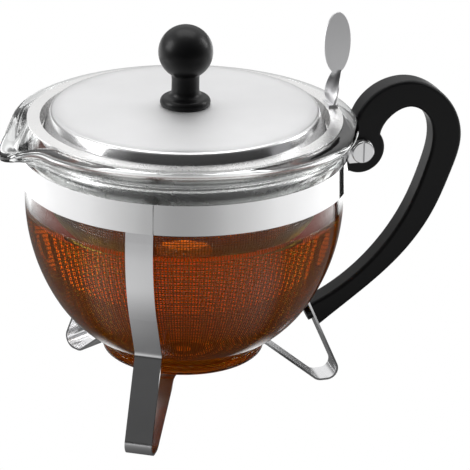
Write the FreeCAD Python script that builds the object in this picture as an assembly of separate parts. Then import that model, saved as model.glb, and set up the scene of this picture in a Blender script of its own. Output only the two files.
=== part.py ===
import FreeCAD, Part
import math
import os

from FreeCAD import Vector

# Glass teapot in a strip-steel stand, with a lift-out tea filter and a lift-off lid.
# Millimetres. +Z is up, the origin is on the table under the bowl's axis, the handle points
# along +X and the spout along -X.

# Glass jug
STAND_HEIGHT = 24.5          # table to the underside of the glass
BOWL_RADIUS = 73.0           # outside, at the widest
BOWL_EQUATOR = 74.7          # height of the widest level above the glass underside
SHOULDER_RATIO = 1.2262      # radius of the bowl's upper arc, to the height of its widest level
BELLY_RATIO = 0.8032         # the same for its lower arc
BELLY_ANGLE = 31.0           # below level, where the lower arc takes over
GLASS_WALL = 2.4
GLASS_FLOOR = 4.0
FOOT_RADIUS = 37.5
FOOT_HEIGHT = 4.0
FOOT_ROUND = 1.0
PUNT_RADIUS = 28.0
PUNT_DEPTH = 1.2
NECK_INSET = 0.4             # neck behind the band, inside the widest radius
NECK_RISE = 13.9             # rim above the band
LIP_OVERHANG = 6.4           # lip beyond the neck
LIP_THICKNESS = 5.6          # rounded edge of the lip, top to bottom
MOUTH_ROUND = 1.5            # inside edge of the rim

# Pouring spout
SPOUT_OVERHANG = 6.0         # tip beyond the lip
SPOUT_ROOT_INSET = 8.6       # start of the spout inside the neck
SPOUT_TIP_WIDTH = 12.0
SPOUT_ROOT_WIDTH = 58.0
SPOUT_TIP_DROP = 8.0         # tip's edge below the rim
SPOUT_LIP = 3.2              # thickness at the tip's lowest point
SPOUT_WALL = 2.4

# Clamp band
BAND_HEIGHT = 14.0
BAND_THICKNESS = 0.8
BAND_RISE = 9.0              # lower edge above the bowl's widest level
STRIP_PLAY = 0.1             # clearance each side of a strip between band and glass
SEAM_GAP = 0.5
EAR_RADIUS = 5.6             # rounded end, about the clamp screw

# Legs, three alike, bent from strip
LEG_WIDTH = 12.5
LEG_THICKNESS = 1.0
LEG_COUNT = 3
LEG_TOP_DROP = 0.8           # top end below the band's upper edge
KNEE_INSET = 14.7            # knee inside the bowl's widest radius
KNEE_RISE = 19.0             # knee above the glass underside
KNEE_BEND = 4.0
FOOT_OVERHANG = 4.2          # corner of the foot bend, before rounding, beyond the widest radius
FOOT_LAND = 12.3             # between the two corners of the foot bend
FOOT_BEND = 5.0
SHOULDER_SET = 12.0          # bend just under the band
HUG_GAP = 0.15               # strip to bowl
TOE_BEND = 3.0
LEG_TOE_OUTER = 38.0         # where the strip turns flat under the base ring
LEG_TOE_INNER = 28.0

# Base ring under the glass
RING_OUTER = 34.0
RING_INNER = 14.0
RING_THICKNESS = 1.0
GLASS_SEAT_GAP = 0.1

# Handle
HANDLE_THICKNESS = 11.0
HANDLE_ROUND = 1.6
EYE_OFFSET = 8.0             # eye's centre beyond the band
EYE_RADIUS = 11.4
HANDLE_BAND_GAP = 0.3
EAR_PLAY = 0.1
HANDLE_END_RISE = 9.5        # middle of the lower end above the glass underside
HANDLE_END_HALF = 6.0        # half the width of the lower end, along the leg
# Outlines from the eye's centre, outward and up
HANDLE_OUTER = [(-2.6, 15.8), (3.4, 25.0), (12.5, 30.6), (23.5, 32.0), (35.5, 27.4), (45.8, 16.0),
                (49.2, 2.8), (45.2, -14.0), (35.8, -35.8), (21.8, -54.6), (2.2, -71.6)]
HANDLE_INNER = [(-3.5, -64.6), (12.2, -49.6), (24.4, -31.2), (32.6, -10.2), (35.2, 4.2),
                (32.4, 13.8), (24.0, 19.0), (15.6, 16.2), (9.4, 6.8)]

# Clamp screw and nut
SCREW_RADIUS = 2.0
SCREW_PLAY = 0.1
SCREW_HEAD_RADIUS = 5.4
SCREW_HEAD_HEIGHT = 2.4
SCREW_HEAD_DOME = 0.7
SLOT_WIDTH = 1.1
SLOT_DEPTH = 1.2

# Screw at the lower end of the handle
END_SCREW_RADIUS = 1.6
END_SCREW_HEAD_RADIUS = 3.4
END_SCREW_HEAD_HEIGHT = 2.4
END_SCREW_DEPTH = 9.0
BORE_SPARE = 1.0

# Tea filter
SHEET = 0.8
FLANGE_LAP = 1.4             # flange over the glass rim
FLANGE_GLASS_GAP = 0.1
FUNNEL_INSET = 3.6           # funnel inside the glass mouth
FUNNEL_TAPER = 0.6
LEDGE_DROP = 7.0             # ledge below the flange
LEDGE_WIDTH = 3.4            # ledge that carries the lid
COLLAR_DROP = 4.2            # collar's lower edge below the band's
BASKET_CLEAR = 8.5           # basket's floor above the glass floor
MESH_THICKNESS = 0.6
HEM_HEIGHT = 3.0
HEM_THICKNESS = 0.7

# Filter tab
TAB_INSET = 2.6              # tab's middle inside the flange's edge
TAB_SHEET = 1.1
TAB_ROOT_WIDTH = 9.0
TAB_PAD_WIDTH = 4.4
TAB_NECK_WIDTH = 4.2
TAB_NECK_HEIGHT = 16.5
TAB_LEAN = 2.4               # blade's centre further out than the root
BLADE_LENGTH = 29.0
BLADE_WIDTH = 12.4
BLADE_LAP = 1.5              # blade over the end of the neck
TWIST_STEPS = 6

# Lid
LID_FLARE = 3.3              # skirt's foot beyond the edge of the top
LID_SKIRT_PLAY = 0.4         # skirt to the filter's funnel
LID_HEIGHT = 11.0            # seat to the edge of the top
LID_DOME_RISE = 1.3
LID_CROWN_SHARE = 0.75       # of the rise, reached halfway out
LID_EDGE_ROUND = 2.0
LID_SEAT_GAP = 0.1

# Knob
BALL_RADIUS = 12.4
BALL_HEIGHT = 24.9           # ball's centre above the lid
KNOB_NECK_RADIUS = 6.3
KNOB_FLANGE_RADIUS = 11.5
KNOB_FLANGE_HEIGHT = 4.2
KNOB_FLANGE_BULGE = 0.36
KNOB_FLANGE_FOOT = 10.4      # radius where the flange meets the lid
KNOB_SCREW_RADIUS = 2.0
KNOB_SCREW_DEPTH = 14.0
KNOB_SCREW_HEAD_RADIUS = 3.6
KNOB_SCREW_HEAD_HEIGHT = 2.2
WASHER_RADIUS = 7.0
WASHER_THICKNESS = 0.8
THREAD_PLAY = 0.05

# Places that follow from the sizes above
GLASS_BASE = STAND_HEIGHT
EQUATOR_Z = GLASS_BASE + BOWL_EQUATOR
SHOULDER_BEND = SHOULDER_RATIO * BOWL_EQUATOR
BELLY_BEND = BELLY_RATIO * BOWL_EQUATOR
SHOULDER_X = BOWL_RADIUS - SHOULDER_BEND
NECK_RADIUS = BOWL_RADIUS - NECK_INSET
NECK_INNER = NECK_RADIUS - GLASS_WALL
LIP_RADIUS = NECK_RADIUS + LIP_OVERHANG
SPOUT_REACH = LIP_RADIUS + SPOUT_OVERHANG
SPOUT_ROOT = NECK_RADIUS - SPOUT_ROOT_INSET
BAND_Z = EQUATOR_Z + BAND_RISE
BAND_TOP_Z = BAND_Z + BAND_HEIGHT
RIM_Z = BAND_TOP_Z + NECK_RISE
BAND_INNER = NECK_RADIUS + LEG_THICKNESS + 6 * STRIP_PLAY
BAND_OUTER = BAND_INNER + BAND_THICKNESS
LEG_TOP_RADIUS = math.sqrt((BAND_INNER - STRIP_PLAY) ** 2 - (LEG_WIDTH / 2) ** 2) - LEG_THICKNESS / 2
KNEE_RADIUS = BOWL_RADIUS - KNEE_INSET
KNEE_HEIGHT = GLASS_BASE + KNEE_RISE
FOOT_REACH = BOWL_RADIUS + FOOT_OVERHANG
EYE_X = BAND_OUTER + EYE_OFFSET
EYE_Z = BAND_Z + BAND_HEIGHT / 2
EAR_Y = HANDLE_THICKNESS / 2 + EAR_PLAY
SCREW_FACE_Y = EAR_Y + BAND_THICKNESS
HANDLE_END_LEVEL = GLASS_BASE + HANDLE_END_RISE
FLANGE_Z = RIM_Z + FLANGE_GLASS_GAP
FLANGE_RADIUS = NECK_INNER + FLANGE_LAP
FUNNEL_RADIUS = NECK_INNER - FUNNEL_INSET
LEDGE_RADIUS = FUNNEL_RADIUS - FUNNEL_TAPER
LEDGE_Z = FLANGE_Z - LEDGE_DROP
COLLAR_RADIUS = LEDGE_RADIUS - LEDGE_WIDTH
COLLAR_BOTTOM_Z = BAND_Z - COLLAR_DROP
TAB_RADIUS = FLANGE_RADIUS - TAB_INSET
LID_SEAT_Z = LEDGE_Z + SHEET + LID_SEAT_GAP
LID_SKIRT_RADIUS = LEDGE_RADIUS - SHEET - LID_SKIRT_PLAY
LID_EDGE_RADIUS = LID_SKIRT_RADIUS - LID_FLARE
LID_EDGE_Z = LID_SEAT_Z + LID_HEIGHT
LID_TOP_Z = LID_EDGE_Z + LID_DOME_RISE
WASHER_Z = LID_TOP_Z - SHEET - WASHER_THICKNESS - 2 * LID_SEAT_GAP
SEAM_ANGLE = -360 / LEG_COUNT + math.degrees(LEG_WIDTH / 2 / BAND_OUTER)
AXIS = Vector(0, 0, 1)
ORIGIN = Vector(0, 0, 0)


def at(x, z):
    """A point of a profile in the XZ plane."""
    return Vector(x, 0, z)


def line(a, b):
    return Part.LineSegment(a, b).toShape()


def arc(a, via, b):
    return Part.Arc(a, via, b).toShape()


def revolved(edges):
    """The closed profile, turned once round the axis."""
    face = Part.Face(Part.Wire(edges))
    return face.revolve(ORIGIN, AXIS, 360)


def outline(points):
    """The closed polygon as a list of edges."""
    return [line(a, b) for a, b in zip(points, points[1:] + points[:1])]


def turned(shape, degrees):
    copy = shape.copy()
    copy.rotate(ORIGIN, AXIS, degrees)
    return copy


def tube(outer, inner, bottom, height):
    ring = Part.makeCylinder(outer, height, at(0, bottom))
    return ring.cut(Part.makeCylinder(inner, height, at(0, bottom)))


def on_circle(centre, radius, degrees):
    a = math.radians(degrees)
    return at(centre.x + radius * math.cos(a), centre.z + radius * math.sin(a))


def circle_arc(centre, radius, first, last):
    """Stretch of a circle in the XZ plane between two angles."""
    return arc(on_circle(centre, radius, first), on_circle(centre, radius, (first + last) / 2),
               on_circle(centre, radius, last))


def angle_at(centre, radius, z):
    """Angle at which the circle passes a height, on its +X side."""
    return math.degrees(math.asin((z - centre.z) / radius))


# Glass jug

SHOULDER_CENTRE = at(SHOULDER_X, EQUATOR_Z)
BELLY_CENTRE = on_circle(SHOULDER_CENTRE, SHOULDER_BEND - BELLY_BEND, -BELLY_ANGLE)


def bowl_side(inset, low_z, high_radius):
    """Bowl's two arcs from a low level up to the neck, as edges and their two end points."""
    shoulder, belly = SHOULDER_BEND - inset, BELLY_BEND - inset
    low = angle_at(BELLY_CENTRE, belly, low_z)
    high = math.degrees(math.acos(min(1, (high_radius - SHOULDER_X) / shoulder)))
    edges = [
        circle_arc(BELLY_CENTRE, belly, low, -BELLY_ANGLE),
        circle_arc(SHOULDER_CENTRE, shoulder, -BELLY_ANGLE, high),
    ]
    return edges, on_circle(BELLY_CENTRE, belly, low), on_circle(SHOULDER_CENTRE, shoulder, high)


def jug_body():
    floor_z = GLASS_BASE + GLASS_FLOOR
    foot_top = GLASS_BASE + FOOT_HEIGHT
    outer, outer_low, outer_high = bowl_side(0, foot_top, NECK_RADIUS)
    inner, inner_low, inner_high = bowl_side(GLASS_WALL, floor_z, NECK_INNER)
    punt_z = GLASS_BASE + PUNT_DEPTH
    punt_edge = PUNT_RADIUS + PUNT_DEPTH
    neck_top = at(NECK_RADIUS, BAND_TOP_Z)
    lip_radius = LIP_THICKNESS / 2
    lip_centre = at(LIP_RADIUS - lip_radius, RIM_Z - lip_radius)
    under_lip = at(lip_centre.x, RIM_Z - LIP_THICKNESS)
    cove_bend = under_lip.z - BAND_TOP_Z
    cove_middle = at(NECK_RADIUS + 0.3 * (under_lip.x - NECK_RADIUS), BAND_TOP_Z + 0.7 * cove_bend)
    mouth = at(NECK_INNER + MOUTH_ROUND, RIM_Z - MOUTH_ROUND)
    edges = [
        line(at(0, punt_z), at(PUNT_RADIUS, punt_z)),
        line(at(PUNT_RADIUS, punt_z), at(punt_edge, GLASS_BASE)),
        line(at(punt_edge, GLASS_BASE), at(FOOT_RADIUS - FOOT_ROUND, GLASS_BASE)),
        circle_arc(at(FOOT_RADIUS - FOOT_ROUND, GLASS_BASE + FOOT_ROUND), FOOT_ROUND, -90, 0),
        line(at(FOOT_RADIUS, GLASS_BASE + FOOT_ROUND), at(FOOT_RADIUS, foot_top - FOOT_ROUND)),
        circle_arc(at(FOOT_RADIUS - FOOT_ROUND, foot_top - FOOT_ROUND), FOOT_ROUND, 0, 90),
        line(at(FOOT_RADIUS - FOOT_ROUND, foot_top), outer_low),
        line(outer_high, neck_top),
        arc(neck_top, cove_middle, under_lip),
        circle_arc(lip_centre, lip_radius, -90, 90),
        line(at(lip_centre.x, RIM_Z), at(NECK_INNER + MOUTH_ROUND, RIM_Z)),
        circle_arc(mouth, MOUTH_ROUND, 90, 180),
        line(at(NECK_INNER, mouth.z), inner_high),
        line(inner_low, at(0, floor_z)),
        line(at(0, floor_z), at(0, punt_z)),
    ]
    return revolved(Part.sortEdges(edges + outer + inner)[0])


def trough(x, half_width, bottom, top):
    """Rounded U section of the spout, across X."""
    shoulder = bottom + 0.7 * (top - bottom)
    left, right = Vector(x, -half_width, shoulder), Vector(x, half_width, shoulder)
    return Part.Wire([
        arc(left, Vector(x, 0, bottom), right),
        line(right, Vector(x, half_width, top)),
        line(Vector(x, half_width, top), Vector(x, -half_width, top)),
        line(Vector(x, -half_width, top), left),
    ])


def spout_loft(inset, root_bottom, tip_bottom, root_top, tip_top, overrun):
    root, tip = SPOUT_ROOT_WIDTH / 2 - inset, SPOUT_TIP_WIDTH / 2 - inset
    middle_x = (NECK_RADIUS + LIP_RADIUS) / 2
    share = (middle_x - SPOUT_ROOT) / (SPOUT_REACH - SPOUT_ROOT)
    middle = root + share ** 3 * (tip - root)
    sections = [
        trough(-SPOUT_ROOT, root, root_bottom, root_top),
        trough(-middle_x, middle, (root_bottom + tip_bottom) / 2, (root_top + tip_top) / 2),
        trough(-SPOUT_REACH - overrun, tip, tip_bottom, tip_top),
    ]
    return Part.makeLoft(sections, True)


def glass_jug():
    tip_z = RIM_Z - SPOUT_TIP_DROP
    floor_z = tip_z - SPOUT_LIP
    root_z = BAND_TOP_Z + STRIP_PLAY
    above = RIM_Z + SPOUT_WALL
    beak = spout_loft(0, root_z, floor_z, RIM_Z - LIP_THICKNESS / 2, tip_z, 0)
    channel = spout_loft(SPOUT_WALL, root_z + 2 * SPOUT_WALL, floor_z + SPOUT_WALL, above, above, SPOUT_WALL)
    inside = Part.makeCylinder(NECK_RADIUS - GLASS_WALL / 2, RIM_Z, at(0, BAND_Z))
    return jug_body().fuse(beak.cut(inside)).cut(channel).removeSplitter()


# Clamp band

def band_piece(start, sweep, side):
    """Stretch of the band from the seam to an ear on one side of the handle's eye."""
    low = [at(BAND_INNER, BAND_Z), at(BAND_OUTER, BAND_Z)]
    high = [at(BAND_OUTER, BAND_TOP_Z), at(BAND_INNER, BAND_TOP_Z)]
    hoop = Part.Face(Part.Wire(outline(low + high)))
    hoop.rotate(ORIGIN, AXIS, start)
    strip = hoop.revolve(ORIGIN, AXIS, sweep)
    root = math.sqrt(BAND_INNER ** 2 - EAR_Y ** 2)
    across = Vector(0, BAND_THICKNESS, 0)
    ear = Part.Face(Part.Wire([
        line(at(root, EYE_Z - EAR_RADIUS), at(EYE_X, EYE_Z - EAR_RADIUS)),
        circle_arc(at(EYE_X, EYE_Z), EAR_RADIUS, -90, 90),
        line(at(EYE_X, EYE_Z + EAR_RADIUS), at(root, EYE_Z + EAR_RADIUS)),
        line(at(root, EYE_Z + EAR_RADIUS), at(root, EYE_Z - EAR_RADIUS)),
    ])).extrude(across)
    ear.translate(Vector(0, EAR_Y if side > 0 else -SCREW_FACE_Y, 0))
    hole = screw_hole(SCREW_RADIUS + SCREW_PLAY)
    return strip.fuse(ear).cut(hole).removeSplitter()


def screw_hole(radius):
    """Rod along the clamp screw's axis, past both faces."""
    reach = 2 * SCREW_FACE_Y
    return Part.makeCylinder(radius, 2 * reach, Vector(EYE_X, -reach, EYE_Z), Vector(0, 1, 0))


EAR_ANGLE = math.degrees(math.asin(EAR_Y / BAND_INNER))


def band_rear():
    return band_piece(EAR_ANGLE, 360 + SEAM_ANGLE - EAR_ANGLE, 1)


def band_front():
    gap = math.degrees(SEAM_GAP / BAND_OUTER)
    return band_piece(SEAM_ANGLE + gap, -EAR_ANGLE - SEAM_ANGLE - gap, -1)


# Legs

def rounded_path(corners, bends, shift):
    """Edges of the path through the corners, moved sideways by shift, with its corners rounded."""
    def unit(a, b):
        d = b.sub(a)
        return d.multiply(1 / d.Length)

    def left_of(d):
        return Vector(-d.z, 0, d.x)

    moved = []
    for i, corner in enumerate(corners):
        before = unit(corners[i - 1], corner) if i else unit(corner, corners[1])
        after = unit(corner, corners[i + 1]) if i < len(corners) - 1 else before
        normal = left_of(before).add(left_of(after))
        normal.multiply(2 * shift / normal.dot(normal) if shift else 0)
        moved.append(corner.add(normal))
    edges, start = [], moved[0]
    for i in range(1, len(moved) - 1):
        before, after = unit(moved[i - 1], moved[i]), unit(moved[i], moved[i + 1])
        turn = math.acos(max(-1.0, min(1.0, before.dot(after))))
        side = 1 if before.x * after.z - before.z * after.x > 0 else -1
        bend = bends[i - 1] - side * shift
        reach = bend * math.tan(turn / 2)
        first, last = moved[i].sub(before * reach), moved[i].add(after * reach)
        towards = left_of(before) * side
        centre = first.add(towards * bend)
        out = moved[i].sub(centre)
        middle = centre.add(out * (bend / out.Length))
        edges += [line(start, first), arc(first, middle, last)]
        start = last
    return edges + [line(start, moved[-1])], moved[0], moved[-1]


def tangent_angle(centre, radius, point, side):
    """Angle on the circle where a line from an outside point touches it."""
    away = point.sub(centre)
    return math.atan2(away.z, away.x) + side * math.acos(radius / away.Length)


def leg_corners():
    """Corners of the strip's middle line before rounding, and the bend radius at each."""
    hug = SHOULDER_BEND + HUG_GAP + LEG_THICKNESS / 2
    shoulder, knee = at(LEG_TOP_RADIUS, BAND_Z), at(KNEE_RADIUS, KNEE_HEIGHT)
    high = tangent_angle(SHOULDER_CENTRE, hug, shoulder, -1)
    low = tangent_angle(SHOULDER_CENTRE, hug, knee, 1)
    corner = on_circle(SHOULDER_CENTRE, hug / math.cos((high - low) / 2), math.degrees((high + low) / 2))
    ring_under = GLASS_BASE - GLASS_SEAT_GAP - RING_THICKNESS - LEG_THICKNESS / 2
    foot_z = LEG_THICKNESS / 2
    return [
        at(LEG_TOP_RADIUS, BAND_TOP_Z - LEG_TOP_DROP),
        shoulder,
        corner,
        knee,
        at(FOOT_REACH, foot_z),
        at(FOOT_REACH - FOOT_LAND, foot_z),
        at(LEG_TOE_OUTER, ring_under),
        at(LEG_TOE_INNER, ring_under),
    ], [SHOULDER_SET, hug, KNEE_BEND, FOOT_BEND, FOOT_BEND, TOE_BEND]


def leg(angle):
    corners, bends = leg_corners()
    half = LEG_THICKNESS / 2
    one, one_start, one_end = rounded_path(corners, bends, half)
    other, other_start, other_end = rounded_path(corners, bends, -half)
    ends = [line(one_start, other_start), line(one_end, other_end)]
    wire = Part.Wire(Part.sortEdges(one + other + ends)[0])
    strip = Part.Face(wire).extrude(Vector(0, LEG_WIDTH, 0))
    strip.translate(Vector(0, -LEG_WIDTH / 2, 0))
    return turned(strip, angle)


def leg_direction():
    """Unit vector down the leg from the knee to the foot."""
    d = at(FOOT_REACH, LEG_THICKNESS / 2).sub(at(KNEE_RADIUS, KNEE_HEIGHT))
    return d.multiply(1 / d.Length)


def leg_point(height):
    """Middle of the leg's straight run at a height above the table."""
    d = leg_direction()
    return at(KNEE_RADIUS, KNEE_HEIGHT).add(d * ((height - KNEE_HEIGHT) / d.z))


def end_rod(radius, low, high):
    """Rod through the leg at the handle's lower end, from low to high out of the strip's middle."""
    out = leg_outward()
    return Part.makeCylinder(radius, high - low, leg_point(HANDLE_END_LEVEL).add(out * low), out)


def leg_outward():
    down = leg_direction()
    return Vector(-down.z, 0, down.x)


def leg_handle():
    return leg(0).cut(end_rod(END_SCREW_RADIUS + SCREW_PLAY, -LEG_THICKNESS, LEG_THICKNESS))


def base_ring():
    return tube(RING_OUTER, RING_INNER, GLASS_BASE - GLASS_SEAT_GAP - RING_THICKNESS, RING_THICKNESS)


# Handle

def spline(points):
    curve = Part.BSplineCurve()
    curve.interpolate(points)
    return curve.toShape()


def handle():
    down, out = leg_direction(), leg_outward()
    seat = leg_point(HANDLE_END_LEVEL).add(out * (LEG_THICKNESS / 2))
    low_end, high_end = seat.add(down * HANDLE_END_HALF), seat.sub(down * HANDLE_END_HALF)
    eye_left = at(EYE_X - EYE_RADIUS, EYE_Z)
    outer_points = [at(EYE_X + x, EYE_Z + z) for x, z in HANDLE_OUTER]
    inner_points = [at(EYE_X + x, EYE_Z + z) for x, z in HANDLE_INNER]
    neck_out, neck_in = outer_points[0], inner_points[-1]
    outer = spline(outer_points + [low_end])
    inner = spline([high_end] + inner_points)
    eye = arc(neck_in, at(EYE_X + EYE_RADIUS * 0.6, EYE_Z - EYE_RADIUS * 0.8), eye_left)
    edges = [outer, line(low_end, high_end), inner, eye, line(eye_left, neck_out)]
    wire = Part.Wire(Part.sortEdges(edges)[0])
    solid = Part.Face(wire).extrude(Vector(0, HANDLE_THICKNESS, 0))
    solid.translate(Vector(0, -HANDLE_THICKNESS / 2, 0))
    room_foot = at(0, BAND_Z - BAND_HEIGHT / 2)
    band_room = Part.makeCylinder(BAND_OUTER + HANDLE_BAND_GAP, 2 * BAND_HEIGHT, room_foot)
    end_bore = end_rod(END_SCREW_RADIUS + THREAD_PLAY, 0, END_SCREW_DEPTH + BORE_SPARE)
    bores = screw_hole(SCREW_RADIUS + SCREW_PLAY).fuse(end_bore)
    rims = [e for e in solid.Edges if abs(e.BoundBox.YLength) < 1e-6 and e.BoundBox.XMax > BAND_OUTER]
    return solid.makeFillet(HANDLE_ROUND, rims).cut(band_room).cut(bores)


def end_faces(solid, y):
    return [e for e in solid.Edges if e.BoundBox.YLength < 1e-6 and abs(e.BoundBox.YMin - y) < 1e-6]


def clamp_screw():
    outer_y = -SCREW_FACE_Y - SCREW_HEAD_HEIGHT
    away = Vector(0, -1, 0)
    face = Vector(EYE_X, -SCREW_FACE_Y, EYE_Z)
    head = Part.makeCylinder(SCREW_HEAD_RADIUS, SCREW_HEAD_HEIGHT, face, away)
    head = head.makeFillet(SCREW_HEAD_DOME, end_faces(head, outer_y))
    stem = Part.makeCylinder(SCREW_RADIUS, 2 * SCREW_FACE_Y + SCREW_HEAD_HEIGHT, face, Vector(0, 1, 0))
    slot = Part.makeBox(
        SLOT_WIDTH, SLOT_DEPTH, 4 * SCREW_HEAD_RADIUS,
        Vector(EYE_X - SLOT_WIDTH / 2, outer_y, EYE_Z - 2 * SCREW_HEAD_RADIUS))
    return stem.fuse(head).cut(slot).removeSplitter()


def clamp_nut():
    along = Vector(0, 1, 0)
    face = Vector(EYE_X, SCREW_FACE_Y, EYE_Z)
    nut = Part.makeCylinder(SCREW_HEAD_RADIUS, SCREW_HEAD_HEIGHT, face, along)
    nut = nut.makeFillet(SCREW_HEAD_DOME, end_faces(nut, SCREW_FACE_Y + SCREW_HEAD_HEIGHT))
    return nut.cut(Part.makeCylinder(SCREW_RADIUS + THREAD_PLAY, SCREW_HEAD_HEIGHT, face, along))


def handle_screw():
    inner = -LEG_THICKNESS / 2
    head = end_rod(END_SCREW_HEAD_RADIUS, inner - END_SCREW_HEAD_HEIGHT, inner)
    return head.fuse(end_rod(END_SCREW_RADIUS, inner, END_SCREW_DEPTH)).removeSplitter()


# Tea filter

def filter_collar():
    funnel_in, ledge_in = FUNNEL_RADIUS - SHEET, LEDGE_RADIUS - SHEET
    collar_in = COLLAR_RADIUS - SHEET
    return revolved(outline([
        at(collar_in, COLLAR_BOTTOM_Z), at(COLLAR_RADIUS, COLLAR_BOTTOM_Z), at(COLLAR_RADIUS, LEDGE_Z),
        at(LEDGE_RADIUS, LEDGE_Z), at(FUNNEL_RADIUS, FLANGE_Z), at(FLANGE_RADIUS, FLANGE_Z),
        at(FLANGE_RADIUS, FLANGE_Z + SHEET), at(funnel_in, FLANGE_Z + SHEET), at(ledge_in, LEDGE_Z + SHEET),
        at(collar_in, LEDGE_Z + SHEET)]))


def filter_mesh():
    """Thin basket that runs inside the bowl's two arcs, with a flat floor and an upright top edge."""
    outer_r = COLLAR_RADIUS - SHEET - STRIP_PLAY
    inner_r = outer_r - MESH_THICKNESS
    top_z = COLLAR_BOTTOM_Z + HEM_HEIGHT
    floor_z = GLASS_BASE + GLASS_FLOOR + BASKET_CLEAR
    floor_in = floor_z + MESH_THICKNESS
    outer, outer_low, outer_high = bowl_side(BOWL_RADIUS - outer_r, floor_z, outer_r)
    inner, inner_low, inner_high = bowl_side(BOWL_RADIUS - inner_r, floor_in, inner_r)
    edges = [
        line(at(0, floor_z), outer_low),
        line(outer_high, at(outer_r, top_z)),
        line(at(outer_r, top_z), at(inner_r, top_z)),
        line(at(inner_r, top_z), inner_high),
        line(inner_low, at(0, floor_in)),
        line(at(0, floor_in), at(0, floor_z)),
    ]
    return revolved(Part.sortEdges(edges + outer + inner)[0])


def filter_hem():
    outer_r = COLLAR_RADIUS - SHEET - 2 * STRIP_PLAY - MESH_THICKNESS
    return tube(outer_r, outer_r - HEM_THICKNESS, COLLAR_BOTTOM_Z, HEM_HEIGHT)


def filter_tab():
    pad_z = FLANGE_Z + SHEET
    pad_corner = Vector(TAB_RADIUS - TAB_PAD_WIDTH / 2, -TAB_ROOT_WIDTH / 2, pad_z)
    pad = Part.makeBox(TAB_PAD_WIDTH, TAB_ROOT_WIDTH, TAB_SHEET, pad_corner)
    sections = []
    for step in range(TWIST_STEPS + 1):
        share = step / TWIST_STEPS
        width = TAB_ROOT_WIDTH + share * (TAB_NECK_WIDTH - TAB_ROOT_WIDTH)
        half, thin = width / 2, TAB_SHEET / 2
        near = [Vector(-thin, -half, 0), Vector(thin, -half, 0)]
        far = [Vector(thin, half, 0), Vector(-thin, half, 0)]
        loop = Part.Wire(outline(near + far))
        loop.rotate(ORIGIN, AXIS, 90 * share)
        loop.translate(at(TAB_RADIUS + TAB_LEAN * share ** 2, pad_z + TAB_NECK_HEIGHT * share))
        sections.append(loop)
    neck = Part.makeLoft(sections, True)
    blade_x, blade_z = TAB_RADIUS + TAB_LEAN, pad_z + TAB_NECK_HEIGHT + BLADE_LENGTH / 2 - BLADE_LAP
    blade_tip = at(blade_x, blade_z + BLADE_LENGTH / 2)
    blade_side = at(blade_x + BLADE_WIDTH / 2, blade_z)
    oval = Part.Ellipse(blade_tip, blade_side, at(blade_x, blade_z))
    blade = Part.Face(Part.Wire(oval.toShape())).extrude(Vector(0, TAB_SHEET, 0))
    blade.translate(Vector(0, -TAB_SHEET / 2, 0))
    return pad.fuse(neck).fuse(blade).removeSplitter()


# Lid and knob

def lid_shell():
    hole = KNOB_SCREW_RADIUS + SCREW_PLAY
    rounding = LID_EDGE_ROUND
    corner = at(LID_EDGE_RADIUS - rounding, LID_EDGE_Z - rounding)
    slope = math.degrees(math.atan2(LID_SKIRT_RADIUS - LID_EDGE_RADIUS, LID_HEIGHT - rounding))

    def skin(inset):
        bend = rounding - inset
        crown = at(corner.x / 2, LID_EDGE_Z + LID_CROWN_SHARE * LID_DOME_RISE - inset)
        return [
            arc(at(hole, LID_TOP_Z - inset), crown, on_circle(corner, bend, 90)),
            circle_arc(corner, bend, 90, slope),
        ], on_circle(corner, bend, slope)

    top, top_end = skin(0)
    under, under_end = skin(SHEET)
    foot_out, foot_in = at(LID_SKIRT_RADIUS, LID_SEAT_Z), at(LID_SKIRT_RADIUS - SHEET, LID_SEAT_Z)
    edges = [line(top_end, foot_out), line(foot_out, foot_in), line(foot_in, under_end)]
    edges.append(line(at(hole, LID_TOP_Z - SHEET), at(hole, LID_TOP_Z)))
    return revolved(Part.sortEdges(top + under + edges)[0])


def knob():
    base = LID_TOP_Z
    ball_z = base + BALL_HEIGHT
    neck_top = ball_z - math.sqrt(BALL_RADIUS ** 2 - KNOB_NECK_RADIUS ** 2)
    bore = KNOB_SCREW_RADIUS + THREAD_PLAY
    top = base + KNOB_SCREW_DEPTH + BORE_SPARE
    flange_top = base + KNOB_FLANGE_HEIGHT
    flange_edge = at(KNOB_FLANGE_RADIUS, base + KNOB_FLANGE_BULGE * KNOB_FLANGE_HEIGHT)
    return revolved([
        line(at(bore, base), at(KNOB_FLANGE_FOOT, base)),
        arc(at(KNOB_FLANGE_FOOT, base), flange_edge, at(KNOB_NECK_RADIUS, flange_top)),
        line(at(KNOB_NECK_RADIUS, flange_top), at(KNOB_NECK_RADIUS, neck_top)),
        arc(at(KNOB_NECK_RADIUS, neck_top), at(BALL_RADIUS, ball_z), at(0, ball_z + BALL_RADIUS)),
        line(at(0, ball_z + BALL_RADIUS), at(0, top)),
        line(at(0, top), at(bore, top)),
        line(at(bore, top), at(bore, base)),
    ])


def knob_washer():
    return tube(WASHER_RADIUS, KNOB_SCREW_RADIUS + SCREW_PLAY, WASHER_Z, WASHER_THICKNESS)


def knob_screw():
    head_top = WASHER_Z
    head_foot = at(0, head_top - KNOB_SCREW_HEAD_HEIGHT)
    head = Part.makeCylinder(KNOB_SCREW_HEAD_RADIUS, KNOB_SCREW_HEAD_HEIGHT, head_foot)
    low = [e for e in head.Edges if abs(e.BoundBox.ZMax - (head_top - KNOB_SCREW_HEAD_HEIGHT)) < 1e-6]
    head = head.makeFillet(SCREW_HEAD_DOME, low)
    stem_height = LID_TOP_Z + KNOB_SCREW_DEPTH - head_top
    return head.fuse(Part.makeCylinder(KNOB_SCREW_RADIUS, stem_height, at(0, head_top))).removeSplitter()


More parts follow.
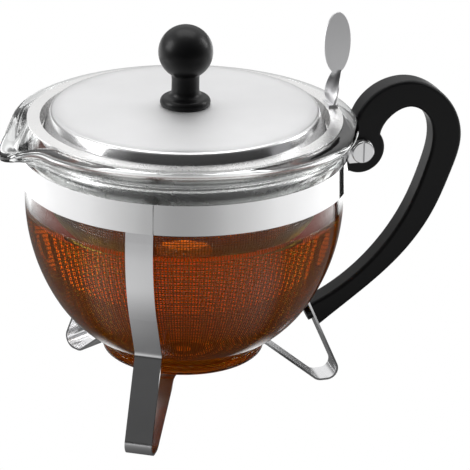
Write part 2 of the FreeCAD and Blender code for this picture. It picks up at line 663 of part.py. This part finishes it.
NODES = {
    "glass_jug": glass_jug,
    "band_front": band_front,
    "band_rear": band_rear,
    "leg_handle": leg_handle,
    "leg_front": lambda: leg(-360 / LEG_COUNT),
    "leg_left": lambda: leg(360 / LEG_COUNT),
    "base_ring": base_ring,
    "handle": handle,
    "clamp_screw": clamp_screw,
    "clamp_nut": clamp_nut,
    "handle_screw": handle_screw,
    "filter_collar": filter_collar,
    "filter_mesh": filter_mesh,
    "filter_hem": filter_hem,
    "filter_tab": filter_tab,
    "lid_shell": lid_shell,
    "knob": knob,
    "knob_washer": knob_washer,
    "knob_screw": knob_screw,
}

os.makedirs("parts", exist_ok=True)
for name, make in NODES.items():
    shape = make()
    print(name, "valid" if shape.isValid() else "NOT VALID", len(shape.Solids), round(shape.Volume, 1))
    shape.exportStep(f"parts/{name}.step")
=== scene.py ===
import math

import bmesh
import bpy
from mathutils import Matrix, Vector


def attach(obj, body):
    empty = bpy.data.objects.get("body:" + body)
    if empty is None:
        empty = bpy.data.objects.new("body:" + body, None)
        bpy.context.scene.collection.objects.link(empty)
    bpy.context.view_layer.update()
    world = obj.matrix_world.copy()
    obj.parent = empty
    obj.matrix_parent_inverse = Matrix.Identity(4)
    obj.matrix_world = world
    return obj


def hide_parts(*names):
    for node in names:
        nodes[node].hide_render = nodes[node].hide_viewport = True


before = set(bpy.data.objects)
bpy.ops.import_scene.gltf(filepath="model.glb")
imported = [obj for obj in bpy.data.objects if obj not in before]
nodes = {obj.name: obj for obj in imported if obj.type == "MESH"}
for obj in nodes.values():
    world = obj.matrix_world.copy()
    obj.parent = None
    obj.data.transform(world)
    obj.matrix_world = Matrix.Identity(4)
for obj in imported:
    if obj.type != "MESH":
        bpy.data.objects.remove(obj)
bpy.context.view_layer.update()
MM = 0.001


# Shader maths: a socket with operators, and one method that makes any other node.

class Sock:
    def __init__(self, tree, socket):
        self.tree = tree
        self.socket = socket

    def _math(self, op, a, b):
        node = self.tree.nodes.new("ShaderNodeMath")
        node.operation = op
        for i, value in enumerate((a, b)):
            if isinstance(value, Sock):
                self.tree.links.new(value.socket, node.inputs[i])
            else:
                node.inputs[i].default_value = value
        return Sock(self.tree, node.outputs[0])

    def __add__(self, o):
        return self._math("ADD", self, o)

    def __radd__(self, o):
        return self._math("ADD", o, self)

    def __sub__(self, o):
        return self._math("SUBTRACT", self, o)

    def __rsub__(self, o):
        return self._math("SUBTRACT", o, self)

    def __mul__(self, o):
        return self._math("MULTIPLY", self, o)

    def __truediv__(self, o):
        return self._math("DIVIDE", self, o)

    def __pow__(self, o):
        return self._math("POWER", self, o)

    def make(self, kind, inputs):
        """Any other node from its type and inputs; inputs may be sockets or values."""
        node = self.tree.nodes.new(kind)
        for key, value in inputs.items():
            if isinstance(value, Sock):
                self.tree.links.new(value.socket, node.inputs[key])
            else:
                node.inputs[key].default_value = value
        return Sock(self.tree, node.outputs[0])

    def parts(self):
        """The x, y and z of a vector."""
        node = self.make("ShaderNodeSeparateXYZ", {"Vector": self}).socket.node
        return [Sock(self.tree, out) for out in node.outputs]

    def ramp(self, stops):
        """Colour ramp over this value: stops are (position, grey or colour)."""
        out = self.make("ShaderNodeValToRGB", {"Fac": self})
        elements = out.socket.node.color_ramp.elements
        while len(elements) < len(stops):
            elements.new(1.0)
        for element, (place, colour) in zip(elements, stops):
            element.position = place
            grey = isinstance(colour, (int, float))
            element.color = (colour, colour, colour, 1) if grey else (*colour, 1)
        return out


def coordinates(tree, kind):
    return Sock(tree, tree.nodes.new("ShaderNodeTexCoord").outputs[kind])


def material(name, base, rough, metal=0.0, **constants):
    """Principled material; returns it, its shader node and a socket of object coordinates."""
    mat = bpy.data.materials.new(name)
    mat.use_nodes = True
    tree = mat.node_tree
    shader = tree.nodes["Principled BSDF"]
    shader.inputs["Base Color"].default_value = (*base, 1)
    shader.inputs["Roughness"].default_value = rough
    shader.inputs["Metallic"].default_value = metal
    for key, value in constants.items():
        shader.inputs[key.replace("_", " ")].default_value = value
    return mat, shader, coordinates(tree, "Object")


def link(value, shader, name):
    value.tree.links.new(value.socket, shader.inputs[name])


def noise(at, scale, detail, stretch=(1, 1, 1)):
    placed = at.make("ShaderNodeMapping", {"Vector": at, "Scale": stretch})
    return at.make("ShaderNodeTexNoise", {"Vector": placed, "Scale": scale, "Detail": detail})


def bump(height, strength, depth):
    """Bump of a depth in millimetres."""
    return height.make(
        "ShaderNodeBump", {"Height": height, "Strength": strength, "Distance": depth * MM})


def metal(name, tint, rough, smudge, brush=None, satin=None):
    """Steel with faint smudges in its roughness.

    brush is (scale, stretch, strength) of fine lines; satin is (inner radius, outer radius, added
    roughness) of a duller middle that ends between the two radii, in metres.
    """
    mat, shader, at = material(name, tint, rough, metal=1.0)
    cloud = noise(at, scale=45.0, detail=4.0)
    fine = noise(at, scale=420.0, detail=2.0)
    haze = rough + (cloud - 0.45) * smudge + (fine - 0.5) * (smudge * 0.4)
    if satin:
        inner, outer, added = satin
        x, y, _ = at.parts()
        reach = (x * x + y * y) ** 0.5
        haze = haze + reach.ramp([(inner, 1.0), (outer, 0.0)]) * added
    link(haze, shader, "Roughness")
    tone = cloud.ramp([(0.3, tuple(c * 0.965 for c in tint)), (0.65, tint)])
    link(tone, shader, "Base Color")
    if brush:
        scale, stretch, strength = brush
        lines = noise(at, scale, 2.0, stretch)
        link(bump(lines, strength, depth=0.02), shader, "Normal")
    return mat


def plastic(name, tone, rough, grain, coat):
    """Moulded plastic: cloudy roughness, fine pits and a thin coat."""
    mat, shader, at = material(
        name, tone, rough, Coat_Weight=coat, Coat_Roughness=0.18, IOR=1.5, Specular_IOR_Level=0.2)
    cloud = noise(at, scale=60.0, detail=4.0)
    link(rough + (cloud - 0.45) * 0.12, shader, "Roughness")
    pits = noise(at, scale=1500.0, detail=2.0)
    link(bump(pits, grain, depth=0.03), shader, "Normal")
    lighter = tuple(c * 1.35 for c in tone)
    link(cloud.ramp([(0.3, tone), (0.7, lighter)]), shader, "Base Color")
    return mat


CHROME = (0.84, 0.84, 0.845)
ROUND = (0.05, 0.05, 1.0)  # stretch of brushed lines that run round the axis
band_mat = metal("band_steel", CHROME, 0.07, 0.05, brush=(900.0, ROUND, 0.03))
leg_mat = metal("leg_steel", (0.80, 0.80, 0.81), 0.20, 0.06)
screw_mat = metal("screw_steel", (0.78, 0.78, 0.79), 0.16, 0.06)
lid_mat = metal("lid_steel", (0.72, 0.72, 0.725), 0.12, 0.05, satin=(0.0575, 0.0610, 0.46))
tab_mat = metal("tab_steel", (0.86, 0.86, 0.87), 0.34, 0.06)
collar_mat = metal("collar_steel", (0.95, 0.945, 0.94), 0.27, 0.06, brush=(700.0, ROUND, 0.03))
mesh_mat = metal("mesh_steel", (0.26, 0.245, 0.22), 0.30, 0.08)
handle_mat = plastic("handle_black", (0.008, 0.008, 0.0086), 0.42, grain=0.10, coat=0.03)
knob_mat = plastic("knob_black", (0.006, 0.006, 0.0064), 0.36, grain=0.05, coat=0.06)
dark_screw_mat = metal("black_screw", (0.05, 0.05, 0.05), 0.4, 0.08)

# Glass: the bowl's reflections are held back, and those of the neck and lip are full
glass_mat, glass_shader, glass_at = material(
    "jug_glass", (0.985, 0.995, 0.992), 0.0,
    Transmission_Weight=1.0, IOR=1.47, Specular_Tint=(0.12, 0.12, 0.12, 1))
link((noise(glass_at, 30.0, 3.0) - 0.5) * 0.012 + 0.006, glass_shader, "Roughness")
link(bump(noise(glass_at, 16.0, 1.0), 0.008, depth=0.3), glass_shader, "Normal")
rim_mat = glass_mat.copy()
rim_mat.name = "rim_glass"
rim_shader = rim_mat.node_tree.nodes["Principled BSDF"]
rim_shader.inputs["Specular Tint"].default_value = (1, 1, 1, 1)


def add_tea_volume(mat, absorbed, density, painted_glow_tint, painted_glow):
    """Fills a material with a clear liquid that absorbs light, plus a faint painted glow that stands
    in for light shining through the tea.
    """
    tree = mat.node_tree
    absorb = tree.nodes.new("ShaderNodeVolumeAbsorption")
    absorb.inputs["Color"].default_value = (*absorbed, 1)
    absorb.inputs["Density"].default_value = density
    emit = tree.nodes.new("ShaderNodeEmission")
    emit.inputs["Color"].default_value = (*painted_glow_tint, 1)
    emit.inputs["Strength"].default_value = painted_glow
    both = tree.nodes.new("ShaderNodeAddShader")
    tree.links.new(absorb.outputs[0], both.inputs[0])
    tree.links.new(emit.outputs[0], both.inputs[1])
    tree.links.new(both.outputs[0], tree.nodes["Material Output"].inputs["Volume"])


tea_mat, tea_shader, tea_at = material(
    "tea", (1.0, 0.97, 0.93), 0.0,
    Transmission_Weight=1.0, IOR=1.333, Specular_Tint=(0.3, 0.3, 0.3, 1))
link((noise(tea_at, 25.0, 2.0) - 0.5) * 0.004 + 0.002, tea_shader, "Roughness")
# The tea's emission is a painted glow standing in for light from the bright floor seen through the
# tea; tea gives off no light.
add_tea_volume(tea_mat, (0.952, 0.792, 0.0), 122.0, painted_glow_tint=(1.0, 0.28, 0.02), painted_glow=1.3)


# Mesh builders

def new_object(name, verts, faces, mat, smooth=True):
    data = bpy.data.meshes.new(name)
    data.from_pydata([tuple(v) for v in verts], [], faces)
    data.validate()
    data.update()
    if smooth:
        data.polygons.foreach_set("use_smooth", [True] * len(data.polygons))
    data.materials.append(mat)
    obj = bpy.data.objects.new(name, data)
    bpy.context.scene.collection.objects.link(obj)
    return obj


def smooth_normals(obj, degrees):
    """Recalculated outward normals, with edges sharper than the angle kept crisp."""
    bm = bmesh.new()
    bm.from_mesh(obj.data)
    bmesh.ops.recalc_face_normals(bm, faces=bm.faces)
    for edge in bm.edges:
        edge.smooth = edge.calc_face_angle(0) < math.radians(degrees)
    bm.to_mesh(obj.data)
    bm.free()


def circle(cx, cz, radius, first, last, steps):
    """Points of an arc in a profile, in millimetres and degrees."""
    out = []
    for i in range(steps + 1):
        a = math.radians(first + (last - first) * i / steps)
        out.append((cx + radius * math.cos(a), cz + radius * math.sin(a)))
    return out


def spoke(a):
    """Level direction at an angle in radians."""
    return Vector((math.cos(a), math.sin(a), 0))


def revolve(name, profile, mat, segments, sharp, closed=True, bend=None):
    """Profile of (radius, height) millimetres turned round the axis; bend moves each point."""
    verts, faces, rings = [], [], []
    for r, z in profile:
        if r < 1e-6:
            rings.append([len(verts)])
            verts.append(Vector((0, 0, z)))
            continue
        ring = []
        for k in range(segments):
            ring.append(len(verts))
            verts.append(spoke(2 * math.pi * k / segments) * r + Vector((0, 0, z)))
        rings.append(ring)
    for low, high in zip(rings, rings[1:] + (rings[:1] if closed else [])):
        for k in range(segments):
            j = (k + 1) % segments
            loop = [low[k % len(low)], low[j % len(low)], high[j % len(high)], high[k % len(high)]]
            loop = list(dict.fromkeys(loop))
            if len(loop) > 2:
                faces.append(loop)
    if bend:
        verts = [bend(v) for v in verts]
    obj = new_object(name, [v * MM for v in verts], faces, mat)
    smooth_normals(obj, sharp)
    return obj


# Glass jug, drawn as one smooth surface with its pulled beak. All sizes are in millimetres.

BASE, FOOT_THICK, WALL = 24.5, 4.0, 2.4
BOWL_RADIUS, EQUATOR = 73.0, 99.2
SHOULDER, BELLY = 91.6, 60.0  # radii of the bowl's upper and lower arcs
ARCS_MEET = 31  # degrees below the equator
SHOULDER_X = BOWL_RADIUS - SHOULDER
BELLY_X = SHOULDER_X + (SHOULDER - BELLY) * math.cos(math.radians(ARCS_MEET))
BELLY_Z = EQUATOR - (SHOULDER - BELLY) * math.sin(math.radians(ARCS_MEET))
BOWL_TOP, BAND_TOP, RIM = 107.0, 122.2, 136.1


def bowl(inset, low_z, high_z, steps=22):
    """The bowl's two arcs from a low to a high level, moved inwards by the inset."""
    low = math.degrees(math.asin((low_z - BELLY_Z) / (BELLY - inset)))
    high = math.degrees(math.asin((high_z - EQUATOR) / (SHOULDER - inset)))
    side = circle(BELLY_X, BELLY_Z, BELLY - inset, low, -ARCS_MEET, steps)
    return side + circle(SHOULDER_X, EQUATOR, SHOULDER - inset, -ARCS_MEET, high, steps)[1:]


def smoothstep(x):
    x = max(0.0, min(1.0, x))
    return x * x * (3 - 2 * x)


BEAK_FROM, BEAK_RISE = 119, 14  # level at which the pull starts, and height over which it grows
BEAK_CLEAR = 60  # nothing nearer the axis moves
BEAK_WIDE, BEAK_SHARP = 24, 9.0  # degrees either side of the beak
BEAK_PULL, BEAK_DROP = 7.0, 9.0


def beak(v):
    """Pulls the lip out and down round the -X side."""
    radius = math.hypot(v.x, v.y)
    if v.z < BEAK_FROM or radius < BEAK_CLEAR:
        return v
    off = abs(math.degrees(math.atan2(v.y, -v.x)))
    wide = smoothstep((BEAK_WIDE - off) / BEAK_WIDE)
    sharp = math.exp(-(off / BEAK_SHARP) ** 2)
    high = smoothstep((v.z - BEAK_FROM) / BEAK_RISE)
    new = radius + BEAK_PULL * (0.45 * wide + 0.55 * sharp) * high
    drop = BEAK_DROP * (0.75 * wide + 0.25 * sharp) * high ** 1.5
    return Vector((v.x * new / radius, v.y * new / radius, v.z - drop))


def jug_profile():
    """Outside from the middle of the foot up to the lip, then down the inside."""
    hollow = BASE + 1.2
    foot = [(0, hollow), (14, hollow), (28, hollow), (29.2, BASE), (33, BASE)]
    foot += circle(36.5, BASE + 1, 1, -90, 0, 5) + circle(36.5, BASE + 3, 1, 0, 90, 5)
    neck = [(72.6, 109.5), (72.55, 114), (72.55, 119), (72.6, 121.5)]
    flare = [(72.8, 123.5), (73.2, 125.4), (73.9, 127.2), (74.9, 128.8), (76.0, 129.9)]
    lip = circle(76.2, 133.0, 2.85, -75, 85, 12) + [(75.0, RIM), (73.4, RIM - 0.1)]
    lip += circle(71.8, RIM - 1.7, 1.6, 80, 180, 6)
    throat = [(70.2, 130.0), (70.2, 125.5), (70.2, 119.0), (70.2, 113.0)]
    floor_z = BASE + FOOT_THICK
    outside = foot + bowl(0, floor_z, BOWL_TOP) + neck + flare + lip + throat
    return outside + bowl(WALL, floor_z, BOWL_TOP)[::-1] + [(14, floor_z), (0, floor_z)]


jug = revolve("jug", jug_profile(), glass_mat, 192, sharp=60, bend=beak)
jug.data.materials.append(rim_mat)
for face in jug.data.polygons:
    face.material_index = 1 if face.center.z > BAND_TOP * MM else 0
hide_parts("glass_jug")
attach(jug, "pot")


# Tea in the jug, up to just under the band, with a meniscus and a little overlap into the glass

TEA_LEVEL, TEA_INSET, TEA_FLOOR = 97.5, 2.25, BASE + 3.9


def tea_profile():
    side = bowl(TEA_INSET, TEA_FLOOR, TEA_LEVEL - 0.6)
    top = [(70.35, TEA_LEVEL), (69.2, TEA_LEVEL - 0.25), (0, TEA_LEVEL - 0.3)]
    return [(0, TEA_FLOOR)] + side + top


tea = revolve("tea_fill", tea_profile(), tea_mat, 160, sharp=60, closed=False)
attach(tea, "pot")


# Lid: shallow dome, rolled edge and flared skirt

LID_TOP, LID_BORE, LID_EDGE, LID_RISE = 142.4, 2.1, 59.5, 1.3
LID_STEPS = 20


def lid_profile():
    top = []
    for i in range(LID_STEPS + 1):
        share = i / LID_STEPS
        top.append((LID_BORE + (LID_EDGE - LID_BORE) * share, LID_TOP - LID_RISE * share ** 2.0))
    edge = circle(LID_EDGE, LID_TOP - 3.3, 2.0, 88, 20, 7)
    skirt = [(62.3, 136.9), (63.3, 134.2), (64.65, 130.5), (64.75, 130.25), (64.1, 130.2)]
    inside = [(62.5, 134.2), (60.7, LID_TOP - 3.2), (59.3, LID_TOP - 2.1), (30, LID_TOP - 1.1)]
    return top + edge + skirt + inside + [(LID_BORE, LID_TOP - 0.8)]


lid = revolve("lid", lid_profile(), lid_mat, 192, sharp=50)
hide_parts("lid_shell")
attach(lid, "lid")


# Knob: flange, stem and ball

BALL_LEVEL, BALL_RADIUS = 167.3, 12.4


def knob_profile():
    foot = [(0, 0), (10.4, 0)]
    flange = circle(8.9, 1.5, 2.6, -34, 78, 10)
    stem = [(8.3, 4.2), (7.2, 4.7), (6.55, 5.7), (6.3, 7.4), (6.3, 12.0), (6.4, 13.6)]
    low = [(r, LID_TOP + z) for r, z in foot + flange + stem]
    ball = circle(0, BALL_LEVEL, BALL_RADIUS, -58, 90, 26)
    return low + ball[:-1] + [(0, BALL_LEVEL + BALL_RADIUS)]


knob = revolve("knob_ball", knob_profile(), knob_mat, 96, sharp=50, closed=False)
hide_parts("knob")
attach(knob, "lid")


# Woven wire basket: upright wires and ring wires, each a thin square tube

BASKET_INSET, BASKET_FLOOR = 11.6, BASE + 12.8
COLLAR_RADIUS, COLLAR_TOP, COLLAR_LOW = 61.4, 107.0, 103.0
FLOOR_STEPS = 12
UPRIGHTS, RINGS = 288, 88
LONG_WIRE, SHORT_WIRE = (0.90, 46), (0.76, 40)  # share of the way to the floor's middle, steps
WIRE_HALF, WEAVE = 0.15, 0.10
WIDE_RING, WIDE_STEPS, NARROW_STEPS = 20, 144, 48


def basket_path():
    """Side from the collar down to the middle of the floor, as (run so far, radius, height)."""
    points = [(COLLAR_RADIUS, COLLAR_TOP), (COLLAR_RADIUS, COLLAR_LOW)]
    points += bowl(BASKET_INSET, BASKET_FLOOR, EQUATOR, 40)[::-1]
    rim, low = points[-1]
    points += [(rim * k / FLOOR_STEPS, low) for k in range(FLOOR_STEPS - 1, 0, -1)]
    run, out = 0.0, []
    for i, (r, z) in enumerate(points):
        if i:
            run += math.hypot(r - points[i - 1][0], z - points[i - 1][1])
        out.append((run, r, z))
    return out


BASKET = basket_path()


def basket_point(share):
    """Point at a share of the way from the collar (0) to the middle of the floor (1)."""
    s = share * BASKET[-1][0]
    for (a, r0, z0), (b, r1, z1) in zip(BASKET, BASKET[1:]):
        if s <= b:
            t = (s - a) / (b - a)
            return r0 + (r1 - r0) * t, z0 + (z1 - z0) * t
    return BASKET[-1][1], BASKET[-1][2]


def wire_tube(points, verts, faces, closed):
    """Adds a square tube along the points; each point carries its outward direction."""
    start, count = len(verts), len(points)
    for i, (p, out) in enumerate(points):
        ahead = points[(i + 1) % count][0] if closed or i < count - 1 else p
        behind = points[i - 1][0] if closed or i else p
        along = (ahead - behind).normalized()
        side = along.cross(out).normalized()
        for a, b in ((1, 1), (1, -1), (-1, -1), (-1, 1)):
            verts.append((p + out * (WIRE_HALF * a) + side * (WIRE_HALF * b)) * MM)
    for i in range(count if closed else count - 1):
        here, there = start + 4 * i, start + 4 * ((i + 1) % count)
        for k in range(4):
            m = (k + 1) % 4
            faces.append((here + k, there + k, there + m, here + m))


def basket():
    verts, faces = [], []
    for k in range(UPRIGHTS):
        flat = spoke(2 * math.pi * k / UPRIGHTS)
        last, steps = LONG_WIRE if k % 2 else SHORT_WIRE
        line = []
        for i in range(steps + 1):
            r, z = basket_point(last * i / steps)
            out = (flat * 0.8 + Vector((0, 0, -0.6 * i / steps))).normalized()
            line.append((flat * r + Vector((0, 0, z)), out))
        wire_tube(line, verts, faces, closed=False)
    for i in range(RINGS):
        r, z = basket_point((i + 0.5) / RINGS)
        count = WIDE_STEPS if r > WIDE_RING else NARROW_STEPS
        loop = []
        for k in range(count):
            flat = spoke(2 * math.pi * (k + 0.5 * (i % 2)) / count)
            woven = r + (WEAVE if k % 2 else -WEAVE)
            loop.append((flat * woven + Vector((0, 0, z)), flat))
        wire_tube(loop, verts, faces, closed=True)
    return new_object("wire_basket", verts, faces, mesh_mat)


wires = basket()
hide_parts("filter_mesh")
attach(wires, "filter")


# Materials of the pieces shown straight from the solids

FINISH = {
    "band_front": band_mat, "band_rear": band_mat,
    "leg_handle": leg_mat, "leg_front": leg_mat, "leg_left": leg_mat, "base_ring": leg_mat,
    "handle": handle_mat, "handle_screw": dark_screw_mat,
    "clamp_screw": screw_mat, "clamp_nut": screw_mat,
    "filter_collar": collar_mat, "filter_hem": collar_mat, "filter_tab": tab_mat,
    "knob_washer": screw_mat, "knob_screw": screw_mat,
}
for name, mat in FINISH.items():
    for one in nodes[name].material_slots:
        one.material = mat


# Stage, in metres: a white floor and backdrop that only the camera sees, a floor that only lights,
# cards for the polished steel to reflect, soft lights and a sky

STAGE_REACH, WALL_FOOT, WALL_STEPS = 7, -0.3, 72
VIEW_X, VIEW_Y = 0.276, 0.961  # level direction in which the camera looks


def emitter(name, colour, strength=1.0):
    mat = bpy.data.materials.new(name)
    mat.use_nodes = True
    tree = mat.node_tree
    tree.nodes.clear()
    out = tree.nodes.new("ShaderNodeOutputMaterial")
    emit = tree.nodes.new("ShaderNodeEmission")
    emit.inputs["Color"].default_value = (*colour, 1)
    emit.inputs["Strength"].default_value = strength
    tree.links.new(emit.outputs[0], out.inputs["Surface"])
    return mat


def card(name, centre, size, aim, mat):
    """Flat rectangle facing a point."""
    w, h = size[0] / 2, size[1] / 2
    corners = [(-w, -h, 0), (w, -h, 0), (w, h, 0), (-w, h, 0)]
    obj = new_object(name, corners, [(0, 1, 2, 3)], mat, smooth=False)
    away = (Vector(aim) - Vector(centre)).normalized()
    facing = away.to_track_quat("Z", "Y").to_matrix().to_4x4()
    obj.matrix_world = Matrix.Translation(centre) @ facing
    obj.visible_camera = False


def floor(name, level, mat):
    """Level sheet over the whole stage."""
    s = STAGE_REACH
    corners = [(-s, -s, level), (s, -s, level), (s, s, level), (-s, s, level)]
    obj = new_object(name, corners, [(0, 1, 2, 3)], mat, smooth=False)
    return obj


def backdrop(name, mat):
    """Round wall at the edge of the stage."""
    around = [spoke(2 * math.pi * k / WALL_STEPS) * STAGE_REACH for k in range(WALL_STEPS)]
    verts = [(p.x, p.y, z) for z in (WALL_FOOT, STAGE_REACH) for p in around]
    faces = []
    for k in range(WALL_STEPS):
        j = (k + 1) % WALL_STEPS
        faces.append((k, j, j + WALL_STEPS, k + WALL_STEPS))
    obj = new_object(name, verts, faces, mat, smooth=False)
    return obj


def around_the_pot(at):
    """Tone of the lighting floor by place.

    Dimmer towards the camera, a painted shadow of the pot under its front, dark far in front, shaded
    close beside and behind the bowl, with a dim wedge straight behind and a brighter one to its
    right.
    """
    x, y, _ = at.parts()
    reach = (x * x + y * y + 1e-6) ** 0.5
    turn = (x * VIEW_X + y * VIEW_Y) / reach * 0.5 + 0.5  # 0 towards the camera, 1 behind
    lean = (x * VIEW_Y - y * VIEW_X) / reach * 0.5 + 0.5  # 0 left of the view, 1 right of it
    around = turn.ramp([
        (0.0, 0.23), (0.065, 0.36), (0.265, 0.58), (0.60, 0.76), (0.75, 1.0), (1.0, 1.0)])
    # ring: painted shadow of the pot under its front (reach under 0.06 m), a brighter ring beyond
    # it, dimmer far away
    ring = reach.ramp([
        (0.0, 0.03), (0.06, 0.05), (0.095, 0.6), (0.15, 1.3), (0.26, 1.2),
        (0.33, 1.0), (0.46, 1.0), (0.62, 0.35), (1.0, 0.15)])
    front = turn.ramp([(0.38, 1.0), (0.56, 0.0)])
    shade = turn.ramp([(0.20, 1.0), (0.34, 0.12), (0.955, 0.08), (0.975, 1.0)])
    close = reach.ramp([(0.045, 0.0), (0.06, 1.0), (0.25, 1.0), (0.33, 0.0)])
    outside = reach.ramp([(0.06, 0.0), (0.09, 1.0)])
    behind = turn.ramp([(0.95, 0.0), (0.988, 1.0)]) * outside
    right = lean.ramp([(0.55, 0.0), (0.62, 1.0), (0.72, 1.0), (0.80, 0.0)]) * outside * (1.0 - front)
    tone = around * ((ring - 1.0) * front + 1.0) * ((shade - 1.0) * close + 1.0)
    return tone * (1.0 - behind * 0.58) * (right * 0.9 + 1.0)


white_mat = emitter("floor_white", (1, 1, 1))
for obj in (floor("floor_white", -0.0005, white_mat), backdrop("backdrop_white", white_mat)):
    obj.visible_glossy = False
    obj.visible_transmission = False
    obj.visible_diffuse = False

light_mat = emitter("floor_light", (1, 1, 1), strength=1.6)
light_tree = light_mat.node_tree
link(around_the_pot(coordinates(light_tree, "Object")), light_tree.nodes["Emission"], "Color")
lighting_floor = floor("floor_light", -0.001, light_mat)
lighting_floor.visible_camera = False

BODY = (0, 0, 0.12)
black_mat = emitter("card_black", (0.012, 0.012, 0.013))
grey_mat = emitter("card_grey", (0.35, 0.35, 0.36))
card("card_front", (0.0, -1.9, 0.12), (2.6, 0.7), BODY, black_mat)
card("card_right", (1.3, -0.5, 0.25), (0.5, 0.6), BODY, grey_mat)


def area(name, place, size, power, aim=(0, 0, 0.1)):
    data = bpy.data.lights.new(name, "AREA")
    data.shape = "RECTANGLE"
    data.size, data.size_y = size
    data.energy = power
    obj = bpy.data.objects.new(name, data)
    bpy.context.scene.collection.objects.link(obj)
    obj.location = place
    obj.rotation_euler = (Vector(aim) - Vector(place)).to_track_quat("-Z", "Y").to_euler()


area("key_left", (-1.7, 0.25, 0.9), (0.9, 1.0), power=16.0)
area("fill_right", (1.6, 0.1, 0.8), (0.5, 0.9), power=8.0)
area("top", (0.1, 0.3, 1.5), (1.4, 0.9), power=9.0)

# Sky: dark in front, and dimmer near the horizon
world = bpy.data.worlds.new("studio")
bpy.context.scene.world = world
world.use_nodes = True
sky = world.node_tree.nodes["Background"]
_, depth, height = coordinates(world.node_tree, "Generated").parts()
front_tone = (depth * 0.5 + 0.5).ramp([
    (0.0, 0.07), (0.24, 0.10), (0.42, 0.5), (0.60, 1.0), (1.0, 1.0)])
height_tone = height.ramp([(0.0, 0.30), (0.16, 0.36), (0.28, 0.70), (0.37, 1.0), (1.0, 1.0)])
link(front_tone * height_tone, sky, "Color")
sky.inputs["Strength"].default_value = 1.0


# Camera

def set_camera(place, target, lens, roll):
    data = bpy.data.cameras.new("camera")
    data.lens = lens
    data.sensor_width = 36.0
    data.clip_end = 30.0
    obj = bpy.data.objects.new("camera", data)
    bpy.context.scene.collection.objects.link(obj)
    ahead = (Vector(target) - Vector(place)).normalized()
    right = ahead.cross(Vector((0, 0, 1))).normalized()
    up = right.cross(ahead)
    c, s = math.cos(math.radians(roll)), math.sin(math.radians(roll))
    across, over = right * c + up * s, up * c - right * s
    turn = Matrix((across, over, -ahead)).transposed().to_4x4()
    obj.matrix_world = Matrix.Translation(place) @ turn
    bpy.context.scene.camera = obj


set_camera((-0.2841, -1.0762, 0.5297), (0.0226, -0.0065, 0.0790), lens=199.3, roll=1.0)
bpy.context.scene.view_settings.view_transform = "Standard"
